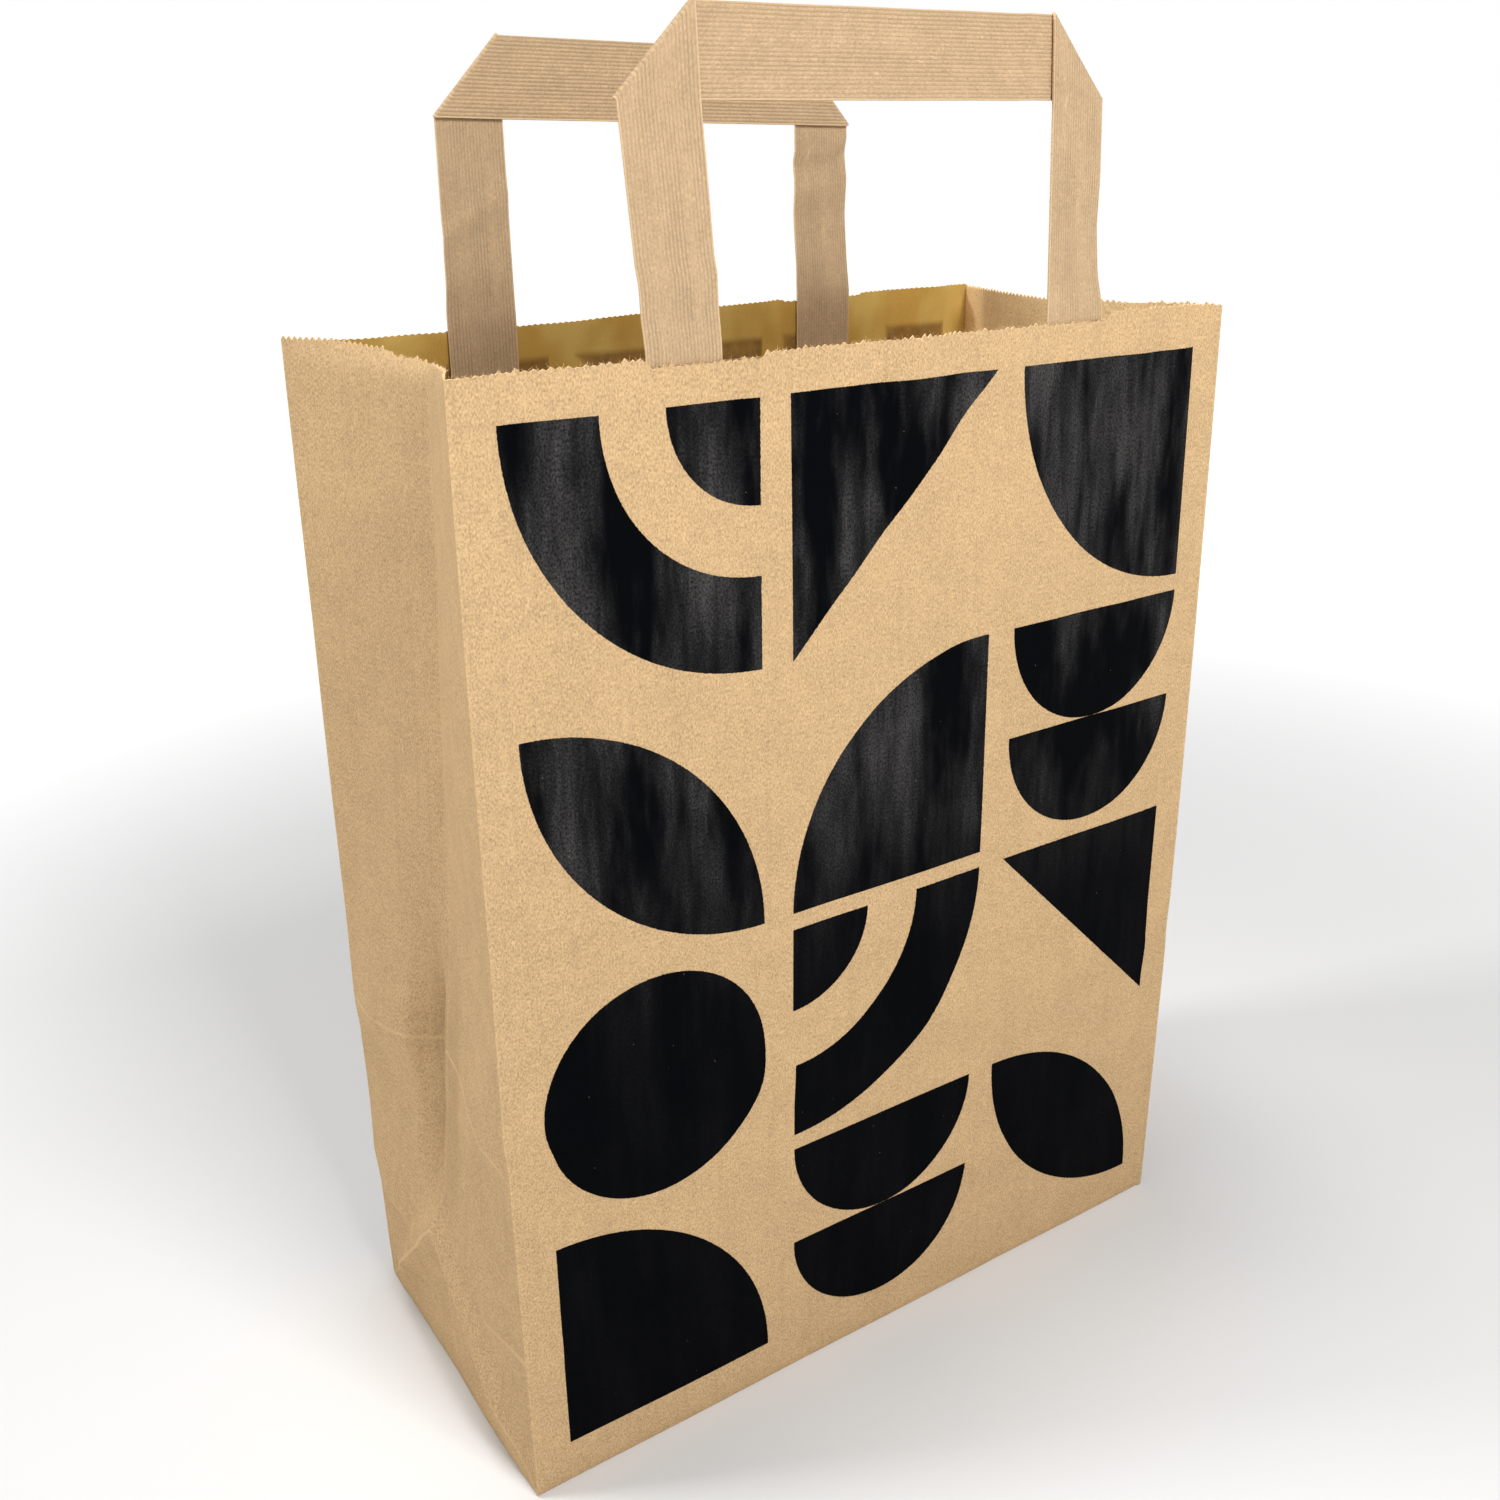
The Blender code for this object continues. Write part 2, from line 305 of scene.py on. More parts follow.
def panel_y(front, x, z, waves=1.0):
    """Middle of the paper of the front or back panel at x, with or without its waves."""
    low = np.minimum(z, HEIGHT)
    front_left, front_right, back_right, back_left = corners(low)
    left, right = (front_left, front_right) if front else (back_left, back_right)
    t = (x - left[0]) / (right[0] - left[0])
    out = waves * panel_waves(x, low, FRONT_PHASE if front else BACK_PHASE)
    return mix(left[1], right[1], t) + (-out if front else out)


def mouth_height(s):
    """Height of the cut edge round the mouth, with its shallow steps at the straps."""
    s = np.mod(s, PERIMETER)
    x = s - WIDTH / 2
    front = HEIGHT - 0.0006
    front = front - 0.0017 * window(-0.0655, -0.0385, x, 0.0015)
    front = front - 0.0006 * window(-0.036, 0.041, x, 0.002)
    front = front - 0.0008 * window(0.0435, 0.0675, x, 0.0015)
    front = front + 0.0012 * smooth(0.0675, 0.0695, x) - 0.0009 * smooth(0.092, 0.110, x)
    back_x = BACK_END - s - WIDTH / 2
    back = HEIGHT - 0.0014 + 0.0020 * smooth(-0.07, 0.11, back_x)
    back = back - 0.0004 * window(-0.09, -0.03, back_x, 0.01)
    back = back - 0.0006 * window(0.040, 0.066, back_x, 0.002)
    left_v = np.abs(LEFT_CREASE - s) / HALF_DEPTH
    left_back = HEIGHT - 0.0003 - 0.0012 * smooth(0.25, 0.65, 1 - left_v)
    left_back = left_back - 0.0012 * smooth(0.66, 0.74, 1 - left_v) - 0.0007 * smooth(0.8, 1.0, 1 - left_v)
    left_front = HEIGHT - 0.0006 - 0.0027 * smooth(0.0, 1.0, 1 - left_v)
    right_v = np.abs(RIGHT_CREASE - s) / HALF_DEPTH
    right = HEIGHT - 0.0004 - 0.0008 * smooth(0.2, 1.0, 1 - right_v)
    height = np.where(s <= FRONT_END, front, right)
    height = np.where(s >= RIGHT_END, back, height)
    height = np.where(s >= BACK_END, left_back, height)
    return np.where(s >= LEFT_CREASE, left_front, height)


# ---------------------------------------------------------------- meshes

def grid_faces(rows, columns):
    """Quads of a grid whose points run row by row."""
    faces = []
    for r in range(rows - 1):
        for c in range(columns - 1):
            a = r * columns + c
            faces.append((a, a + 1, a + columns + 1, a + columns))
    return faces


def make_piece(name, points, faces, paper, materials, thickness, sharp_angle=math.radians(32)):
    """A thin sheet as a closed solid: outer face, inner face and cut edge take materials 0, 1, 2."""
    mesh = bpy.data.meshes.new(name)
    mesh.from_pydata([tuple(p) for p in points], [], faces)
    layer = mesh.attributes.new("paper", "FLOAT_VECTOR", "POINT")
    layer.data.foreach_set("vector", np.asarray(paper, dtype=np.float32).ravel())
    bm = bmesh.new()
    bm.from_mesh(mesh)
    bmesh.ops.remove_doubles(bm, verts=bm.verts, dist=0.00001)
    bm.to_mesh(mesh)
    bm.free()
    for material in materials:
        mesh.materials.append(material)
    piece = bpy.data.objects.new(name, mesh)
    bpy.context.scene.collection.objects.link(piece)
    solidify = piece.modifiers.new("thickness", "SOLIDIFY")
    solidify.thickness = thickness
    solidify.offset = 0.0
    solidify.material_offset = 1
    solidify.material_offset_rim = 2
    depsgraph = bpy.context.evaluated_depsgraph_get()
    solid = bpy.data.meshes.new_from_object(piece.evaluated_get(depsgraph))
    piece.modifiers.clear()
    piece.data = solid
    solid.name = name
    solid.shade_smooth()
    solid.set_sharp_from_angle(angle=sharp_angle)
    return piece


def wall_columns():
    """Running distances of the wall's columns: one a tooth, with the folds always among them."""
    stops = [LAP_START - PERIMETER, RIGHT_CREASE - PERIMETER, RIGHT_END - PERIMETER,
             BACK_END - PERIMETER, LEFT_CREASE - PERIMETER, 0.0, FRONT_END, LAP_END]
    columns = [stops[0]]
    for a, b in zip(stops, stops[1:]):
        count = max(1, round((b - a) / TOOTH_PITCH))
        columns += [mix(a, b, (i + 1) / count) for i in range(count)]
    return np.array(columns)


def wall_rows():
    """Heights of the wall's level rows, closer together across the creases near the bottom."""
    marks = list(np.arange(0.003, 0.128, 0.0024))
    marks += list(np.arange(0.130, MOUTH_BAND, 0.0043))
    return np.array(marks)


def lap_lift(s):
    """The outer end of the sheet lies over its start at the lap seam."""
    return LAP_LIFT * smooth(LAP_START - 0.004, LAP_START, s)


def wall_points(s, z):
    """Middle of the wall, with the lap seam lifted off the sheet's start."""
    x, y, nx, ny = round_the_bag(s, z)
    lift = lap_lift(s)
    return x + nx * lift, y + ny * lift, nx, ny


def build_bag(materials):
    """The whole sheet: the fold round the bottom, the wall, the pinked mouth and the bottom flaps."""
    s = wall_columns()
    count = len(s)
    points, paper, faces = [], [], []

    def add_row(x, y, z, paper_z):
        points.extend(zip(x, y, z))
        paper.extend(zip(s, paper_z, 0 * s))

    for step in range(4):
        angle = math.pi / 2 * step / 4
        x, y, nx, ny = wall_points(s, 0 * s)
        inward = FOLD_RADIUS * (1 - math.sin(angle))
        z = PAPER / 2 + FOLD_RADIUS * (1 - math.cos(angle))
        add_row(x - nx * inward, y - ny * inward, 0 * s + z, 0 * s + z - FOLD_RADIUS)
    mouth = mouth_height(s)
    for height in wall_rows():
        x, y, _, _ = wall_points(s, 0 * s + height)
        add_row(x, y, 0 * s + height, 0 * s + height)
    for share in np.linspace(0, 1, MOUTH_ROWS):
        z = mix(MOUTH_BAND, mouth - TOOTH_HEIGHT, share)
        x, y, _, _ = wall_points(s, z)
        add_row(x, y, z, z)
    rows = len(points) // count
    faces = grid_faces(rows, count)
    top = (rows - 1) * count
    middle = (s[:-1] + s[1:]) / 2
    torn = torn_edge(middle)
    tip_z = mouth_height(middle) - TOOTH_HEIGHT + TOOTH_HEIGHT * torn
    x, y, nx, ny = wall_points(middle, tip_z)
    fray = rng.normal(0, 0.00008, len(middle))
    for i in range(count - 1):
        faces.append((top + i, top + i + 1, len(points)))
        points.append((x[i] + nx[i] * fray[i], y[i] + ny[i] * fray[i], tip_z[i]))
        paper.append((middle[i], tip_z[i], 0.0))
    for side in ("front", "back", "left", "right"):
        add_flap(side, points, paper, faces)
    piece = make_piece("paper_bag", points, faces, paper, materials, PAPER)
    add_fringe(piece, 900)
    return piece


def is_torn(s):
    """1 where the mouth is torn and fuzzy, 0 where its teeth are clean."""
    wrapped = np.mod(s, PERIMETER)
    left = window(BACK_END + 0.034, PERIMETER, wrapped, 0.002)
    front = window(0.0, FRONT_END + 0.030, wrapped, 0.001)
    return np.maximum(left, front)


def torn_edge(s):
    """Height of each tooth as a share of the full one; low where torn and along the back panel."""
    share = 1 + rng.normal(0, 0.10, len(s))
    wrapped = np.mod(s, PERIMETER)
    share = share * (1 - 0.65 * window(RIGHT_END, BACK_END, wrapped, 0.001))
    broken = rng.random(len(s)) < 0.85 * is_torn(s)
    return np.where(broken, rng.uniform(0.08, 0.8, len(s)), share)


def fibre_fringe(count):
    """Pulled-out fibres along the torn part of the mouth: thin three-sided hairs rooted in the edge."""
    points, faces, paper = [], [], []
    placed = 0
    while placed < count:
        s = rng.uniform(BACK_END + 0.03, PERIMETER + FRONT_END + 0.03)
        if is_torn(s) < rng.random():
            continue
        placed += 1
        length = rng.gamma(3.0, 0.00022) + 0.0003
        spin = rng.uniform(0, 2 * math.pi)
        heading = np.array([0.75 * math.cos(spin), 0.75 * math.sin(spin), rng.uniform(0.2, 1.0)])
        curl = rng.normal(0, 0.7, 3)
        thick = rng.uniform(0.000028, 0.000055)
        z = float(mouth_height(np.array([s]))[0]) - TOOTH_HEIGHT * rng.uniform(0.5, 1.2)
        x, y, _, _ = round_the_bag(np.array([s]), np.array([z]))
        spot = np.array([x[0], y[0], z])
        first = len(points)
        for ring in range(4):
            taper = thick * (1 - 0.25 * ring)
            for corner in range(3):
                angle = 2 * math.pi * corner / 3
                ring_point = np.array([math.cos(angle), math.sin(angle), 0.4 * math.sin(angle)])
                points.append(spot + ring_point * taper)
                paper.append((s, z, 0.0))
            heading = heading + curl * 0.33
            spot = spot + heading / np.linalg.norm(heading) * length / 3
        for ring in range(3):
            for corner in range(3):
                a, b = first + 3 * ring + corner, first + 3 * ring + (corner + 1) % 3
                faces.append((a, b, b + 3, a + 3))
        faces.append((first + 2, first + 1, first))
        faces.append((first + 9, first + 10, first + 11))
    return points, faces, paper


def add_fringe(piece, count):
    """Join the loose fibres to a finished piece, as part of its cut edge."""
    points, faces, paper = fibre_fringe(count)
    mesh = bpy.data.meshes.new("fringe")
    mesh.from_pydata([tuple(p) for p in points], [], faces)
    layer = mesh.attributes.new("paper", "FLOAT_VECTOR", "POINT")
    layer.data.foreach_set("vector", np.asarray(paper, dtype=np.float32).ravel())
    mesh.polygons.foreach_set("material_index", [2] * len(faces))
    bm = bmesh.new()
    bm.from_mesh(piece.data)
    bm.from_mesh(mesh)
    bm.to_mesh(piece.data)
    bm.free()
    bpy.data.meshes.remove(mesh)


def add_flap(side, points, paper, faces):
    """One folded-in side of the block bottom: a trapezium in front and behind, a triangle at each end."""
    wide = side in ("front", "back")
    start, end, outward = {
        "front": (0.0, FRONT_END, -1),
        "back": (RIGHT_END, BACK_END, 1),
        "right": (FRONT_END, RIGHT_END, 1),
        "left": (BACK_END, PERIMETER - 1e-9, -1),
    }[side]
    if side in ("back", "left"):
        start, end = start - PERIMETER, end - PERIMETER
    s = wall_columns()
    if side == "right":
        s = np.concatenate([s[s > FRONT_END - 1e-6], s[(s > LAP_END - PERIMETER + 1e-4)] + PERIMETER])
    s = s[(s >= start - 1e-6) & (s <= end + 1e-6)]
    across = (s - start) / (end - start) * 2 - 1
    reach = HALF_DEPTH + (FRONT_FLAP_LAP if side == "front" else 0.0)
    level = FLAP_LEVELS[side]
    half = (WIDTH if wide else DEPTH) / 2
    x, y, nx, ny = round_the_bag(s, 0 * s)
    first = len(points)
    for step in range(FLAP_STEPS + 1):
        t = step / FLAP_STEPS
        inward = FOLD_RADIUS + (reach - FOLD_RADIUS) * t
        keep = (half - min(inward, HALF_DEPTH)) / half
        if not wide:
            keep = (half - inward + SIDE_FLAP_BLUNT * smooth(0.0, 0.2, t)) / half
        z = mix(PAPER / 2, level, float(smooth(0.0, 0.08, t)))
        if t == 0:
            px, py = x - nx * FOLD_RADIUS, y - ny * FOLD_RADIUS
        elif wide:
            px = half * keep * across * (1 if side == "front" else -1)
            py = y - outward * inward
        else:
            px = x - outward * inward
            py = half * keep * across * (1 if side == "right" else -1)
        points.extend(zip(px, py, 0 * s + z))
        paper.extend(zip(s, 0 * s - inward, 0 * s))
    columns = len(s)
    for r in range(FLAP_STEPS):
        for c in range(columns - 1):
            a = first + r * columns + c
            faces.append((a + columns, a + columns + 1, a + 1, a))


# ---------------------------------------------------------------- straps

class Strap:
    """Shape of one handle: the folded pattern's size, and how its legs splay, lean, twist and crease."""

    def __init__(self, name, front, outer, bar_bottom, foot_shift, sway):
        self.name = name
        self.front = front
        self.outer_left, self.outer_right = outer
        self.bar_bottom = bar_bottom
        self.bar_top = bar_bottom + STRAP_WIDTH
        self.foot_shift = foot_shift
        self.sway = sway

    def place(self, x, z, layer):
        """From the flat folded pattern to its place in the world."""
        along = (x - self.outer_left) / (self.outer_right - self.outer_left)
        lift = np.clip((z - HEIGHT) / (self.bar_bottom - HEIGHT), 0, None)
        above = np.clip(z - HEIGHT, 0, None) / STRAP_RISE
        shifted = np.where(lift > 1, 1 + self.sway * (lift - 1), lift)
        x = x + mix(self.foot_shift[0], self.foot_shift[1], along) * (1 - shifted)
        inward = 1.0 if self.front else -1.0
        clear = PAPER / 2 + STRAP_THICKNESS / 2 + 0.0004
        y = panel_y(self.front, x, z, 1 - smooth(0.0, 0.12, above)) + inward * (clear + layer * LAYER_PITCH)
        left_leg = 1 - smooth(0.145, 0.165, along)
        right_leg = smooth(0.835, 0.855, along)
        free = smooth(0.0, 0.15, above)
        if self.front:
            y = y + 0.0072 * above - 0.06 * np.clip(z - self.bar_bottom, 0, None)
            y = y + free * right_leg * (along - 0.855) * 0.130 * (0.10 + 0.08 * above)
            into_bar = np.clip((z - self.bar_bottom) / STRAP_WIDTH, 0, 1)
            z = z + 0.0012 * np.clip(lift, 0, 1) * along - 0.0011 * into_bar
            dent = 0.0006 * ridge(z, 0.2945 + 0.10 * (x + 0.056), 0.006, 0.004) * left_leg
            kink = 0.0007 * ridge(z, 0.3005, 0.010, 0.012) * right_leg * smooth(0.88, 0.98, along)
            radius = np.hypot(x - 0.076, z - 0.340)
            arc = 0.0010 * ridge(radius, 0.0335, 0.005, 0.0025) * (1 - left_leg) * (1 - right_leg)
            ripple = 0.00025 * np.sin(x / 0.0048) * (1 - left_leg) * (1 - right_leg)
            return x, y - dent + kink - arc * (above > 0.65) + ripple * (above > 0.65), z
        y = y + 0.0060 * above ** 0.9
        z = z + np.clip(lift, 0, 1) * mix(0.0006, -0.0010, along)
        y = y + free * left_leg * (along - 0.145) * 0.130 * (0.07 + 0.09 * above)
        y = y + free * right_leg * (along - 0.855) * 0.130 * 0.05
        bend = 0.0011 * ridge(np.hypot(x - 0.052, z - 0.338), 0.022, 0.003, 0.006)
        bend = bend + 0.0010 * ridge(z, 0.303, 0.014, 0.010)
        crease = 0.0005 * ridge(z, 0.305 + 0.5 * (x + 0.058), 0.004, 0.004) * left_leg
        return x, y + bend * right_leg * (above < 0.72) - crease, z


def strap_rungs(strap):
    """Rungs across the strap as (outer x, z), (inner x, z), layer, distance along."""
    left_out, right_out = strap.outer_left, strap.outer_right
    left_in, right_in = left_out + STRAP_WIDTH, right_out - STRAP_WIDTH
    low, high = strap.bar_bottom, strap.bar_top
    mitre = low - MITRE_START
    rungs = []

    def leg(outer, inner, upwards):
        """A leg whose last rungs turn to the slant of the corner fold."""
        part = []
        for z in np.arange(STRAP_END_Z, mitre, LEG_STEP):
            part.append(((outer, z), (inner, z), 0.0))
        for i in range(MITRE_STEPS):
            t = (i + 1) / MITRE_STEPS
            part.append(((outer, mix(mitre, low, t)), (inner, mix(mitre, high, t)), 0.0))
        return part if upwards else part[::-1]

    def fold(outer, inner, sign, upwards):
        """The half turn of the corner fold, from the outer layer to the inner."""
        part = []
        for i in range(1, FOLD_STEPS):
            angle = math.pi * i / FOLD_STEPS
            out = math.sin(angle) * LAYER_PITCH / 2 / math.sqrt(2)
            layer = (1 - math.cos(angle)) / 2
            part.append(((outer + sign * out, low + out), (inner + sign * out, high + out), layer))
        return part if upwards else part[::-1]

    rungs += leg(left_out, left_in, True)
    rungs += fold(left_out, left_in, -1, True)
    for i in range(BAR_STEPS + 1):
        t = i / BAR_STEPS
        rungs.append(((mix(left_out, right_out, t), low), (mix(left_in, right_in, t), high), 1.0))
    rungs += fold(right_out, right_in, 1, False)
    rungs += leg(right_out, right_in, False)
    return rungs


def build_strap(strap, materials):
    """One handle: a ribbed strip laid along the rungs."""
    across = np.linspace(0, 1, 4 * RIB_COUNT + 1)
    ribs = RIB_HEIGHT * np.cos(2 * math.pi * RIB_COUNT * across)
    points, paper = [], []
    rungs = strap_rungs(strap)
    travelled = 0.0
    last = None
    for (ox, oz), (ix, iz), layer in rungs:
        x = mix(ox, ix, across)
        z = mix(oz, iz, across)
        px, py, pz = strap.place(x, z, layer)
        py = py + ribs * (1 - 2 * layer)
        points.extend(zip(px, py, pz))
        middle = np.array([(ox + ix) / 2, (oz + iz) / 2])
        if last is not None:
            travelled += float(np.linalg.norm(middle - last))
        last = middle
        paper.extend(zip(across * STRAP_WIDTH, 0 * across + travelled, 0 * across))
    faces = grid_faces(len(rungs), len(across))
    return make_piece(strap.name, points, faces, paper, materials, STRAP_THICKNESS, math.radians(60))


def build_patch(name, strap, materials):
    """Paper patch glued over the ends of a strap, raised where it covers them."""
    inward = 1.0 if strap.front else -1.0
    x = np.linspace(-PATCH_HALF_WIDTH, PATCH_HALF_WIDTH, 101)
    legs = (
        strap.outer_left + strap.foot_shift[0] + STRAP_WIDTH / 2,
        strap.outer_right + strap.foot_shift[1] - STRAP_WIDTH / 2,
    )
    raised = 0 * x
    for centre in legs:
        away = np.abs(x - centre) - STRAP_WIDTH / 2
        raised = np.maximum(raised, 1 - smooth(0.0008, 0.004, away))
    offset = PAPER / 2 + PATCH_GAP + raised * (STRAP_THICKNESS + PATCH_GAP)
    heights = np.linspace(PATCH_BOTTOM, PATCH_TOP, 21)
    points, paper = [], []
    for z in heights:
        y = panel_y(strap.front, x, 0 * x + z) + inward * offset
        points.extend(zip(x, y, 0 * x + z))
        paper.extend(zip(x, 0 * x + z, 0 * x))
    return make_piece(name, points, grid_faces(len(heights), len(x)), paper, materials, PATCH_THICKNESS)


# ---------------------------------------------------------------- shader helpers

class Nodes:
    """Short calls for building one material's node tree."""

    def __init__(self, name):
        self.material = bpy.data.materials.new(name)
        self.material.use_nodes = True
        self.tree = self.material.node_tree
        self.shader = self.tree.nodes["Principled BSDF"]

    def put(self, socket, value):
        """Link a socket, or set a plain value."""
        if hasattr(value, "is_output"):
            self.tree.links.new(value, socket)
        else:
            socket.default_value = value

    def math(self, operation, a, b=0.0, c=0.0):
        node = self.tree.nodes.new("ShaderNodeMath")
        node.operation = operation
        for socket, value in zip(node.inputs, (a, b, c)):
            self.put(socket, value)
        return node.outputs[0]

    def span(self, value, low, high, to_low=0.0, to_high=1.0):
        """S-curve from to_low at low to to_high at high."""
        node = self.tree.nodes.new("ShaderNodeMapRange")
        node.interpolation_type = "SMOOTHSTEP"
        for socket, v in zip(node.inputs, (value, low, high, to_low, to_high)):
            self.put(socket, v)
        return node.outputs[0]

    def paper(self):
        """Place on the flat sheet, in metres."""
        node = self.tree.nodes.new("ShaderNodeAttribute")
        node.attribute_name = "paper"
        return node.outputs["Vector"]

    def split(self, vector):
        node = self.tree.nodes.new("ShaderNodeSeparateXYZ")
        self.put(node.inputs[0], vector)
        return node.outputs[0], node.outputs[1], node.outputs[2]

    def stretch(self, vector, scale, offset=(0.0, 0.0, 0.0)):
        node = self.tree.nodes.new("ShaderNodeMapping")
        self.put(node.inputs["Vector"], vector)
        node.inputs["Scale"].default_value = scale
        node.inputs["Location"].default_value = offset
        return node.outputs[0]

    def noise(self, vector, scale, detail=2.0, roughness=0.5, distortion=0.0):
        node = self.tree.nodes.new("ShaderNodeTexNoise")
        self.put(node.inputs["Vector"], vector)
        node.inputs["Scale"].default_value = scale
        node.inputs["Detail"].default_value = detail
        node.inputs["Roughness"].default_value = roughness
        node.inputs["Distortion"].default_value = distortion
        return node.outputs["Fac"]

    def cells(self, vector, scale):
        node = self.tree.nodes.new("ShaderNodeTexVoronoi")
        self.put(node.inputs["Vector"], vector)
        node.inputs["Scale"].default_value = scale
        return node

    def blend(self, factor, a, b):
        node = self.tree.nodes.new("ShaderNodeMix")
        node.data_type = "RGBA"
        self.put(node.inputs[0], factor)
        for socket, value in ((node.inputs[6], a), (node.inputs[7], b)):
            self.put(socket, value if hasattr(value, "is_output") else (*value, 1.0))
        return node.outputs[2]

    def bump(self, height, distance, strength):
        node = self.tree.nodes.new("ShaderNodeBump")
        node.inputs["Distance"].default_value = distance
        node.inputs["Strength"].default_value = strength
        self.put(node.inputs["Height"], height)
        return node.outputs[0]


def tone(base, factor):
    """A lighter or darker version of a colour."""
    return tuple(min(1.0, c * factor) for c in base)


def kraft_fibres(n, base, paper, grainy=1.0):
    """Colour and height of uncoated kraft: cloudy formation, grain, light hairs, dark flecks."""
    cloud = n.noise(paper, 70, 3, 0.6)
    mottle = n.noise(n.stretch(paper, (1.0, 0.6, 1.0)), 520, 2, 0.6)
    grain = n.noise(n.stretch(paper, (1.0, 0.6, 1.0)), 2300, 2, 0.6)
    streak = n.noise(n.stretch(paper, (1.0, 0.05, 1.0)), 420, 2, 0.5)
    colour = n.blend(n.span(cloud, 0.30, 0.70), tone(base, 0.94), tone(base, 1.05))
    colour = n.blend(n.math("MULTIPLY", n.span(mottle, 0.50, 0.72), 0.35), colour, tone(base, 1.22))
    colour = n.blend(n.math("MULTIPLY", n.span(mottle, 0.50, 0.28), 0.30), colour, tone(base, 0.74))
    colour = n.blend(n.math("MULTIPLY", n.span(grain, 0.48, 0.74), 0.75 * grainy), colour, tone(base, 1.38))
    colour = n.blend(n.math("MULTIPLY", n.span(grain, 0.52, 0.26), 0.70 * grainy), colour, tone(base, 0.50))
    strands = n.noise(n.stretch(paper, (1.0, 0.6, 1.0), (0.7, 0.2, 0.0)), 1000, 1, 0.5, 0.9)
    strand = n.span(n.math("ABSOLUTE", n.math("SUBTRACT", strands, 0.5)), 0.030, 0.008)
    colour = n.blend(n.math("MULTIPLY", strand, 0.30 * grainy), colour, tone(base, 1.35))
    dark_strand = n.span(n.math("ABSOLUTE", n.math("SUBTRACT", strands, 0.40)), 0.020, 0.006)
    colour = n.blend(n.math("MULTIPLY", dark_strand, 0.30 * grainy), colour, tone(base, 0.55))
    colour = n.blend(n.math("MULTIPLY", n.span(streak, 0.52, 0.72), 0.16), colour, tone(base, 0.70))
    warped = n.noise(n.stretch(paper, (1.0, 0.55, 1.0), (0.3, 0.1, 0.0)), 420, 1, 0.5, 1.2)
    line = n.math("ABSOLUTE", n.math("SUBTRACT", warped, 0.5))
    sparse = n.span(n.noise(paper, 160, 1), 0.52, 0.60)
    hairs = n.math("MULTIPLY", n.span(line, 0.016, 0.004), sparse)
    colour = n.blend(n.math("MULTIPLY", hairs, 0.40), colour, tone(base, 1.5))
    flecks = n.cells(n.stretch(paper, (1.0, 0.7, 1.0)), 420)
    red = n.split(flecks.outputs["Color"])[0]
    fleck = n.math("MULTIPLY", n.span(flecks.outputs["Distance"], 0.09, 0.04), n.span(red, 0.84, 0.90))
    colour = n.blend(n.math("MULTIPLY", fleck, 0.75), colour, tone(base, 0.28))
    height = n.math("ADD", grain, n.math("MULTIPLY", hairs, 0.6))
    height = n.math("ADD", height, n.math("MULTIPLY", mottle, 1.2))
    return colour, height


def line_at(n, value, at, width):
    """1 on the line where value equals at, fading out over width."""
    return n.span(n.math("ABSOLUTE", n.math("SUBTRACT", value, at)), width, width * 0.15)


def corner_wear(n, s, z, grain):
    """Paler worn lines along the upright folds and round the bottom edge."""
    worn = line_at(n, z, 0.0, 0.0008)
    for at in (0.0, FRONT_END, RIGHT_END - PERIMETER, BACK_END - PERIMETER, RIGHT_CREASE - PERIMETER,
               LEFT_CREASE - PERIMETER):
        worn = n.math("MAXIMUM", worn, line_at(n, s, at, 0.0009))
    return n.math("MULTIPLY", worn, n.span(grain, 0.30, 0.60))


def side_creases(n, s, z):
    """Pale lines where the sides were folded flat, worn paper that also serves as painted crease highlight,
    and painted shade darkening the hollow between them.
    """
    across = n.math("SUBTRACT", n.math("MODULO", n.math("ADD", s, PERIMETER), RIGHT_END), WIDTH)
    on_side = n.span(across, 0.0005, 0.0012)
    reach = n.math("ABSOLUTE", n.math("SUBTRACT", across, HALF_DEPTH))
    edge = n.math("SUBTRACT", 1.0, n.math("DIVIDE", reach, HALF_DEPTH))
    diagonal = line_at(n, n.math("ADD", z, reach), HALF_DEPTH, 0.0011)
    upper = line_at(n, n.math("MULTIPLY_ADD", edge, -0.006, z), CREASE_A, 0.0010)
    lower = line_at(n, n.math("MULTIPLY_ADD", edge, 0.010, z), CREASE_B, 0.0010)
    lower = n.math("MULTIPLY", lower, n.span(edge, 0.55, 0.40))
    broken = n.span(n.noise(n.paper(), 45, 2), 0.30, 0.60, 0.35, 1.0)
    # pale fold lines: partly worn paper, partly painted highlight that keeps the creases crisp under any
    # light
    crease_wear_and_highlight = n.math("MAXIMUM", diagonal, n.math("MAXIMUM", upper, lower))
    crease_wear_and_highlight = n.math("MULTIPLY", n.math("MULTIPLY", crease_wear_and_highlight, broken), on_side)
    # painted shade: darker paper in the hollow beside the centre crease of each side, between the two
    # creases
    below = n.math("MULTIPLY", n.span(z, 0.050, 0.075), n.span(z, 0.150, 0.105))
    hollow = n.math("MULTIPLY", n.span(reach, 0.014, 0.006), n.math("MULTIPLY", below, on_side))
    return crease_wear_and_highlight, hollow


# ---------------------------------------------------------------- print

